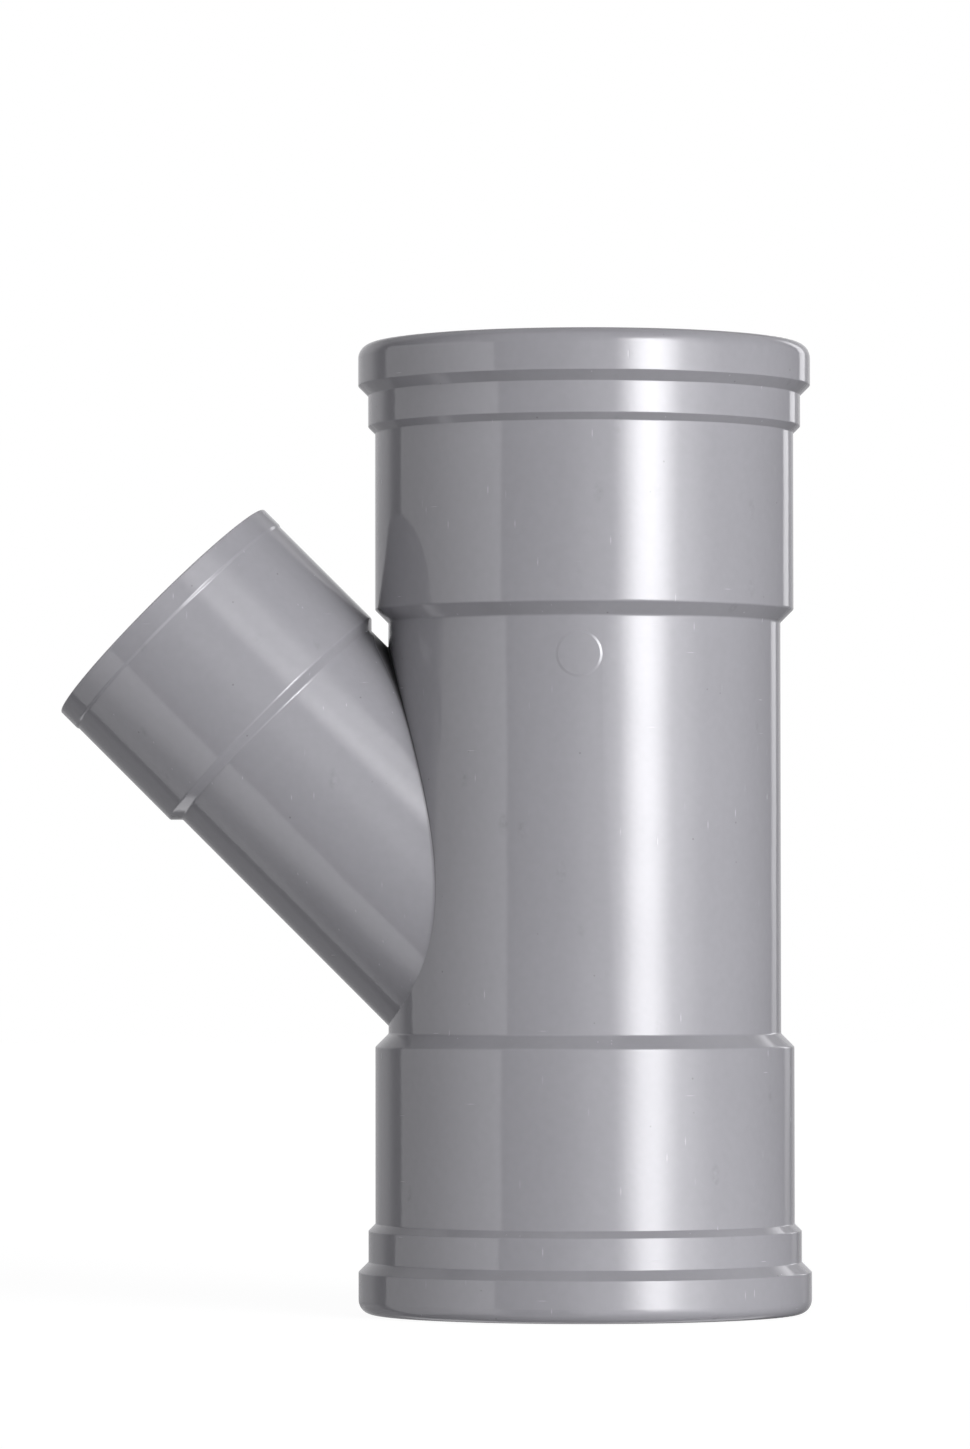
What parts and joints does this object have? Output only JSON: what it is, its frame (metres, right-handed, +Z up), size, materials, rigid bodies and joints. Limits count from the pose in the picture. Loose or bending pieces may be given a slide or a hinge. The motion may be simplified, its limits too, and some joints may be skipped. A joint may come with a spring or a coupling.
{
  "type": "lateral wye fitting",
  "caption": "Upright drain-pipe wye with a ring-seal socket at each end of the run and a narrower plain-socket branch leaving it upwards at 45 degrees.",
  "frame": {"origin": "centre of the lower socket's mouth, in the plane on which the fitting stands", "axes": "+Z up along the run, from the lower socket to the upper one; -X towards the side on which the branch leaves; +Y completes the frame"},
  "size_m": [0.2105, 0.1268, 0.2718],
  "materials": {
    "moulded_pipe_plastic": "semi-gloss moulded grey PVC-U",
    "seal_rubber": "matte black moulded rubber"
  },
  "bodies": {
    "root": {"body": "moulded_pipe_plastic", "lower_seal": "seal_rubber", "upper_seal": "seal_rubber"}
  },
  "joints": []
}
